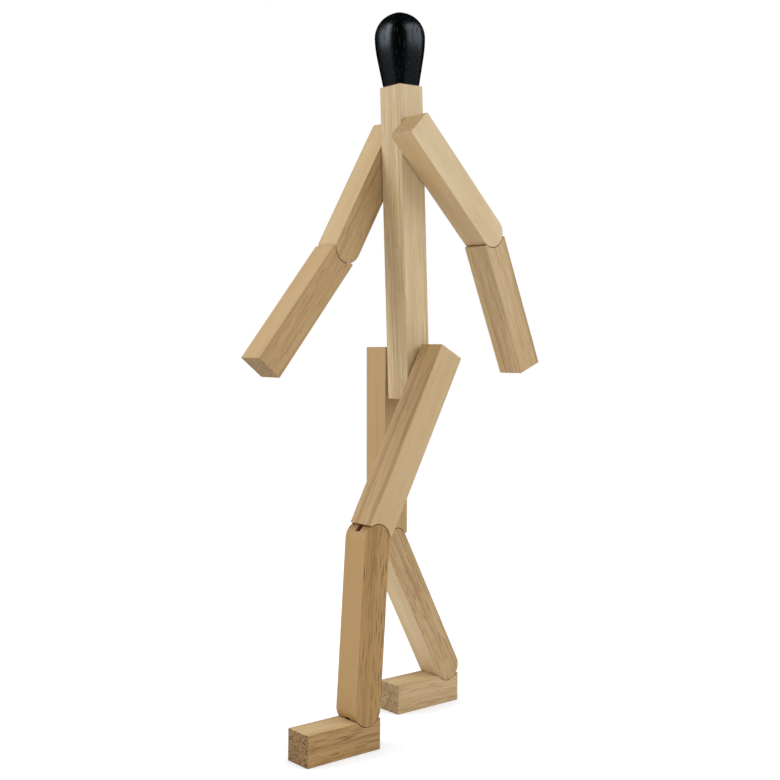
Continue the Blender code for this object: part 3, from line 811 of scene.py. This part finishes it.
for side in ("left", "right"):
    elbow, knee, ankle = (joint_at[f"{side}_{part}"] for part in ("elbow", "knee", "ankle"))
    flat = np.array([0.0, 1, 1])
    swing = FOREARM_SWING[side]
    down_arm = unit((elbow - shoulder) * flat)
    up_thigh = unit((hip - knee) * flat)
    down_shin = unit((ankle - knee) * flat)
    down_forearm = np.array([0, np.sin(swing), -np.cos(swing)])
    straight_down = np.array([0, 0, -1.0])
    joint_cord(f"{side}_elbow_cord", elbow, down_arm, down_forearm)
    joint_cord(f"{side}_knee_cord", knee, -down_shin, up_thigh)
    joint_cord(f"{side}_ankle_cord", ankle, down_shin, straight_down)
for name, at in (("shoulder_cord", joint_at["left_shoulder"]), ("hip_cord", joint_at["left_hip"])):
    end = at[0] - HALF + BUSH_SETBACK + BUSH_LENGTH + KNOT_GAP
    path = np.tile(at, (CROSS_ROWS, 1))
    path[:, 0] = np.linspace(-end, end, CROSS_ROWS)
    made = cord_piece(name, path, np.array([0, 1.0, 0]))
    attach(made, "torso")
    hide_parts(name)

# Studio: a floor and surround that are white to the camera, a large soft light overhead and one on each
# side. The floor's shade is a little cool, so that the shadow on it stays neutral beside the warm wood.
# Reflections see floor and surround dimmed, for the head's dark sheen; no metal or glass mirrors them.
FLOOR_RADIUS = 1.1
FLOOR_SIDES = 96
FLOOR_SHADE = (0.755, 0.785, 0.82, 1)
FLOOR_GLOW = 0.31
FLOOR_BOUNCE = 0.87
FLOOR_REFLECTED = 0.45
SURROUND = 0.55
SURROUND_REFLECTED = 0.01
LIGHTS_AIM = (0, 0, 0.25)
WHITE = (1, 1, 1, 1)
bpy.context.scene.view_settings.view_transform = "Standard"
angle = np.arange(FLOOR_SIDES) * 2 * np.pi / FLOOR_SIDES
rim = FLOOR_RADIUS * np.stack([np.cos(angle), np.sin(angle), 0 * angle], axis=1)
floor_mesh = bpy.data.meshes.new("floor")
floor_mesh.from_pydata(rim.tolist(), [], [list(range(FLOOR_SIDES))])
floor = add_object("floor", floor_mesh)
white_floor, tree = new_material("white floor")
ray = add_node(tree, "ShaderNodeLightPath").outputs
bounce = {0: ray["Is Glossy Ray"], 1: FLOOR_REFLECTED - FLOOR_BOUNCE, 2: FLOOR_BOUNCE}
bounce = add_node(tree, "ShaderNodeMath", bounce, operation="MULTIPLY_ADD")
bounce = add_node(tree, "ShaderNodeBsdfDiffuse", {"Color": bounce})
shaded = add_node(tree, "ShaderNodeBsdfDiffuse", {"Color": FLOOR_SHADE})
glow = add_node(tree, "ShaderNodeEmission", {"Color": WHITE, "Strength": FLOOR_GLOW})
white = add_node(tree, "ShaderNodeAddShader", {0: shaded, 1: glow})
direct = {0: ray["Is Camera Ray"], 1: ray["Is Transmission Ray"]}
direct = add_node(tree, "ShaderNodeMath", direct, operation="MAXIMUM")
shown = add_node(tree, "ShaderNodeMixShader", {0: direct, 1: bounce, 2: white})
add_node(tree, "ShaderNodeOutputMaterial", {"Surface": shown})
floor_mesh.materials.append(white_floor)

world = bpy.data.worlds.new("studio")
bpy.context.scene.world = world
world.use_nodes = True
tree = world.node_tree
tree.nodes.clear()
ray = add_node(tree, "ShaderNodeLightPath").outputs
strength = {0: ray["Is Glossy Ray"], 1: SURROUND_REFLECTED - SURROUND, 2: SURROUND}
strength = add_node(tree, "ShaderNodeMath", strength, operation="MULTIPLY_ADD")
surround = add_node(tree, "ShaderNodeBackground", {"Color": WHITE, "Strength": strength})
backdrop = add_node(tree, "ShaderNodeBackground", {"Color": WHITE, "Strength": 1.0})
direct = {0: ray["Is Camera Ray"], 1: ray["Is Transmission Ray"]}
direct = add_node(tree, "ShaderNodeMath", direct, operation="MAXIMUM")
shown = add_node(tree, "ShaderNodeMixShader", {0: direct, 1: surround, 2: backdrop})
add_node(tree, "ShaderNodeOutputWorld", {"Surface": shown})


def soft_light(name, place, width, height, watts):
    """A rectangular soft light at a place, turned to the middle of the figure."""
    lamp = bpy.data.lights.new(name, "AREA")
    lamp.shape = "RECTANGLE"
    lamp.size = width
    lamp.size_y = height
    lamp.energy = watts
    made = add_object(name, lamp)
    made.location = place
    made.rotation_euler = (Vector(LIGHTS_AIM) - Vector(place)).to_track_quat("-Z", "Y").to_euler()
    return made


overhead = soft_light("overhead light", (0.0, 0.05, 1.9), 1.6, 1.6, 13)
overhead.visible_glossy = False
soft_light("light on the left", (-0.80, -1.08, 0.95), 0.74, 1.1, 9.5)
soft_light("light on the right", (1.02, 0.88, 1.06), 1.15, 1.15, 9.6)

# Camera: set where the photograph was taken from, with its lens for a square frame.
CAMERA_AT = (0.5793, -0.5079, 0.2504)
AZIMUTH, PITCH, ROLL = np.radians([49.1585, -1.9456, 0.7693])
FOCAL_PIXELS, FRAME_PIXELS = 1159.12, 780
forward = np.array([-np.sin(AZIMUTH) * np.cos(PITCH), np.cos(AZIMUTH) * np.cos(PITCH), np.sin(PITCH)])
level = np.array([np.cos(AZIMUTH), np.sin(AZIMUTH), 0])
upright = np.cross(level, forward)
right = np.cos(ROLL) * level + np.sin(ROLL) * upright
up = np.cos(ROLL) * upright - np.sin(ROLL) * level
lens = bpy.data.cameras.new("camera")
lens.sensor_width = 36.0
lens.lens = lens.sensor_width * FOCAL_PIXELS / FRAME_PIXELS
lens.clip_start = 0.01
camera = add_object("camera", lens)
turn = Matrix(np.stack([right, up, -forward], axis=1).tolist()).to_4x4()
camera.matrix_world = Matrix.Translation(CAMERA_AT) @ turn
bpy.context.scene.camera = camera
